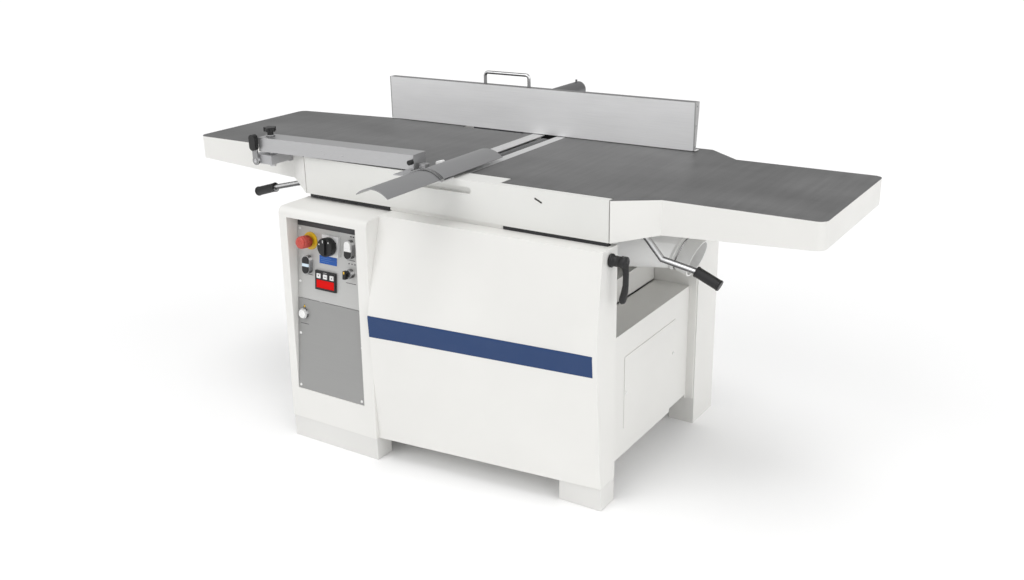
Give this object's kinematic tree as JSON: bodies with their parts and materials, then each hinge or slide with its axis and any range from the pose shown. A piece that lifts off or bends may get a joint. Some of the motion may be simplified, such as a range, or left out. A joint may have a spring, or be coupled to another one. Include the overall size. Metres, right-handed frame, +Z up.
{
  "type": "jointer",
  "caption": "Surface planer with two long iron tables, tilting fence, arched cutter guard and a cabinet with a control column; a second table below thicknesses boards.",
  "frame": {"origin": "centre of the machine's footprint at floor level", "axes": "+X along the tables towards the infeed end, +Y from the operator towards the fence, +Z up"},
  "size_m": [2.2, 1.455, 1.1193],
  "materials": {
    "white_paint": "satin powder coat",
    "plate_grey": "satin",
    "plate_dark_grey": "satin",
    "table_iron": "ground top, painted underneath",
    "carrier_paint": "satin",
    "lip_steel": "ground",
    "steel": "machined",
    "knife_steel": "ground",
    "black_rubber": "matte",
    "motor_paint": "satin",
    "chrome": "polished",
    "dark_bracket": "satin",
    "bar_steel": "turned",
    "fence_aluminium": "anodised",
    "guard_aluminium": "anodised",
    "black_plastic": "matte",
    "white_plastic": "gloss",
    "red_plastic": "gloss",
    "display_plastic": "matte"
  },
  "bodies": {
    "cabinet": {"base_frame": "white_paint", "rear_columns": "white_paint", "front_feet": "white_paint", "front_panel": "white_paint", "control_column": "white_paint", "upper_control_plate": "plate_grey", "lower_control_plate": "plate_dark_grey", "panel_screws": "steel", "side_panels": "white_paint", "access_cover": "white_paint", "rear_cover": "white_paint", "head_castings": "white_paint", "table_seals": "black_rubber", "cutter_bearings": "steel", "main_motor": "motor_paint", "drive_belt": "black_rubber", "lift_guide_tube": "steel", "chip_hood": "white_paint", "panel_fittings": "chrome", "display_unit": "display_plastic"},
    "cutter": {"cutterblock": "steel", "knives": "knife_steel"},
    "motor_shaft": {"motor_rotor": "steel"},
    "feed_in": {"infeed_roller": "steel"},
    "feed_out": {"outfeed_roller": "black_rubber"},
    "fingers": {"kickback_fingers": "steel"},
    "thick_table": {"thicknessing_table": "table_iron"},
    "lift": {"lift_screw": "steel"},
    "table_unit": {"table_carrier": "carrier_paint", "front_cover": "white_paint"},
    "outfeed_side": {"outfeed_table": "table_iron", "outfeed_lip": "lip_steel", "fence_bracket": "dark_bracket", "guard_bracket": "guard_aluminium"},
    "infeed_side": {"infeed_table": "table_iron", "infeed_lip": "lip_steel"},
    "right_lever": {"infeed_lever": "chrome"},
    "left_lever": {"outfeed_lever": "chrome"},
    "fence_carriage": {"fence_bar": "bar_steel"},
    "fence": {"fence_plate": "fence_aluminium", "fence_end_caps": "fence_aluminium", "fence_handle": "chrome"},
    "fence_lock": {"fence_lock_lever": "black_plastic"},
    "guard_support": {"guard_arm": "guard_aluminium"},
    "guard": {"guard_profile": "guard_aluminium"},
    "height_knob": {"star_knob": "black_plastic"},
    "guard_cam": {"cam_lever": "black_plastic"},
    "guard_knob": {"guard_clamp_knob": "black_plastic"},
    "table_clamp": {"table_clamp_lever": "black_plastic"},
    "stop_button": {"emergency_stop": "red_plastic"},
    "rotary_switch": {"main_switch": "black_plastic"},
    "selector": {"selector_knob": "black_plastic"},
    "reset": {"reset_button": "white_plastic"},
    "left_upper": {"left_upper_button": "black_plastic"},
    "left_lower": {"left_lower_button": "black_plastic"},
    "right_upper": {"right_upper_button": "white_plastic"},
    "right_lower": {"right_lower_button": "black_plastic"},
    "left_key": {"left_display_key": "white_plastic"},
    "middle_key": {"middle_display_key": "white_plastic"},
    "right_key": {"right_display_key": "white_plastic"}
  },
  "joints": [
    {"name": "cutter_spin", "type": "hinge", "parent": "cabinet", "child": "cutter", "pos_m": [-0.012, -0.0875, 0.86], "axis": [0, 1, 0], "continuous": true},
    {"name": "motor_spin", "type": "hinge", "parent": "cabinet", "child": "motor_shaft", "pos_m": [-0.23, 0.0075, 0.23], "axis": [0, 1, 0], "continuous": true},
    {"name": "infeed_roller_spin", "type": "hinge", "parent": "cabinet", "child": "feed_in", "pos_m": [0.083, -0.0875, 0.824], "axis": [0, 1, 0], "continuous": true},
    {"name": "outfeed_roller_spin", "type": "hinge", "parent": "cabinet", "child": "feed_out", "pos_m": [-0.107, -0.0875, 0.824], "axis": [0, 1, 0], "continuous": true},
    {"name": "kickback_swing", "type": "hinge", "parent": "cabinet", "child": "fingers", "pos_m": [0.138, -0.0875, 0.856], "axis": [0, 1, 0], "range_deg": [-30, 0]},
    {"name": "thicknessing_table_lift", "type": "slide", "parent": "cabinet", "child": "thick_table", "axis": [0, 0, 1], "range_m": [0, 0.05]},
    {"name": "lift_screw_turn", "type": "hinge", "parent": "cabinet", "child": "lift", "pos_m": [0, -0.0875, 0.2], "axis": [0, 0, 1], "range_deg": [0, 3600]},
    {"name": "tables_opening", "type": "hinge", "parent": "cabinet", "child": "table_unit", "pos_m": [0, 0.3075, 0.815], "axis": [-1, 0, 0], "range_deg": [0, 90]},
    {"name": "outfeed_table_lower", "type": "slide", "parent": "table_unit", "child": "outfeed_side", "axis": [-0.866, 0, -0.5], "range_m": [0, 0.004]},
    {"name": "infeed_table_lower", "type": "slide", "parent": "table_unit", "child": "infeed_side", "axis": [0.866, 0, -0.5], "range_m": [0, 0.016]},
    {"name": "infeed_lever_turn", "type": "hinge", "parent": "table_unit", "child": "right_lever", "pos_m": [0.58, -0.3275, 0.836], "axis": [0, 1, 0], "range_deg": [0, 40]},
    {"name": "outfeed_lever_turn", "type": "hinge", "parent": "table_unit", "child": "left_lever", "pos_m": [-0.575, -0.3275, 0.826], "axis": [0, 1, 0], "range_deg": [-20, 0]},
    {"name": "fence_slide", "type": "slide", "parent": "outfeed_side", "child": "fence_carriage", "axis": [0, 1, 0], "range_m": [-0.3, 0]},
    {"name": "fence_tilt", "type": "hinge", "parent": "fence_carriage", "child": "fence", "pos_m": [-0.195, 0.2285, 0.93], "axis": [-1, 0, 0], "range_deg": [0, 45]},
    {"name": "fence_lock_turn", "type": "hinge", "parent": "outfeed_side", "child": "fence_lock", "pos_m": [-0.13, 0.3725, 0.985], "axis": [1, 0, 0], "range_deg": [0, 40]},
    {"name": "guard_height", "type": "slide", "parent": "outfeed_side", "child": "guard_support", "axis": [0, 0, 1], "range_m": [0, 0.025]},
    {"name": "guard_slide", "type": "slide", "parent": "guard_support", "child": "guard", "axis": [0, 1, 0], "range_m": [0, 0.27]},
    {"name": "height_knob_turn", "type": "hinge", "parent": "guard_support", "child": "height_knob", "pos_m": [-0.6865, -0.4165, 0.985], "axis": [0, 0, 1], "continuous": true},
    {"name": "guard_cam_turn", "type": "hinge", "parent": "outfeed_side", "child": "guard_cam", "pos_m": [-0.722, -0.4545, 0.894], "axis": [0, 1, 0], "range_deg": [-60, 0]},
    {"name": "guard_knob_turn", "type": "hinge", "parent": "guard_support", "child": "guard_knob", "pos_m": [-0.113, -0.4295, 0.95], "axis": [0, 1, 0], "continuous": true},
    {"name": "table_clamp_turn", "type": "hinge", "parent": "cabinet", "child": "table_clamp", "pos_m": [0.58, -0.4285, 0.757], "axis": [-1, 0, 0], "range_deg": [0, 90]},
    {"name": "stop_push", "type": "slide", "parent": "cabinet", "child": "stop_button", "axis": [0, 0.994, -0.1097], "range_m": [0, 0.005]},
    {"name": "rotary_switch_turn", "type": "hinge", "parent": "cabinet", "child": "rotary_switch", "pos_m": [-0.378, -0.51898, 0.67465], "axis": [0, 0.994, -0.1097], "range_deg": [0, 90]},
    {"name": "selector_turn", "type": "hinge", "parent": "cabinet", "child": "selector", "pos_m": [-0.3, -0.52726, 0.59965], "axis": [0, 0.994, -0.1097], "range_deg": [-45, 45]},
    {"name": "reset_push", "type": "slide", "parent": "cabinet", "child": "reset", "axis": [0, 0.994, -0.1097], "range_m": [0, 0.003], "stiffness_N_per_m": 300, "springref_m": -0.002},
    {"name": "left_upper_push", "type": "slide", "parent": "cabinet", "child": "left_upper", "axis": [0, 0.994, -0.1097], "range_m": [0, 0.003], "stiffness_N_per_m": 300, "springref_m": -0.002},
    {"name": "left_lower_push", "type": "slide", "parent": "cabinet", "child": "left_lower", "axis": [0, 0.994, -0.1097], "range_m": [0, 0.003], "stiffness_N_per_m": 300, "springref_m": -0.002},
    {"name": "right_upper_push", "type": "slide", "parent": "cabinet", "child": "right_upper", "axis": [0, 0.994, -0.1097], "range_m": [0, 0.003], "stiffness_N_per_m": 300, "springref_m": -0.002},
    {"name": "right_lower_push", "type": "slide", "parent": "cabinet", "child": "right_lower", "axis": [0, 0.994, -0.1097], "range_m": [0, 0.003], "stiffness_N_per_m": 300, "springref_m": -0.002},
    {"name": "left_key_push", "type": "slide", "parent": "cabinet", "child": "left_key", "axis": [0, 0.994, -0.1097], "range_m": [0, 0.0008], "stiffness_N_per_m": 300, "springref_m": -0.001},
    {"name": "middle_key_push", "type": "slide", "parent": "cabinet", "child": "middle_key", "axis": [0, 0.994, -0.1097], "range_m": [0, 0.0008], "stiffness_N_per_m": 300, "springref_m": -0.001},
    {"name": "right_key_push", "type": "slide", "parent": "cabinet", "child": "right_key", "axis": [0, 0.994, -0.1097], "range_m": [0, 0.0008], "stiffness_N_per_m": 300, "springref_m": -0.001}
  ],
  "couplings": [
    {"joint": "motor_spin", "follows": "cutter_spin", "ratio": 0.6629},
    {"joint": "outfeed_roller_spin", "follows": "infeed_roller_spin", "ratio": 1},
    {"joint": "lift_screw_turn", "follows": "thicknessing_table_lift", "rad_per_m": 1256.6},
    {"joint": "infeed_lever_turn", "follows": "infeed_table_lower", "rad_per_m": 43.6},
    {"joint": "outfeed_lever_turn", "follows": "outfeed_table_lower", "rad_per_m": -87.2}
  ]
}
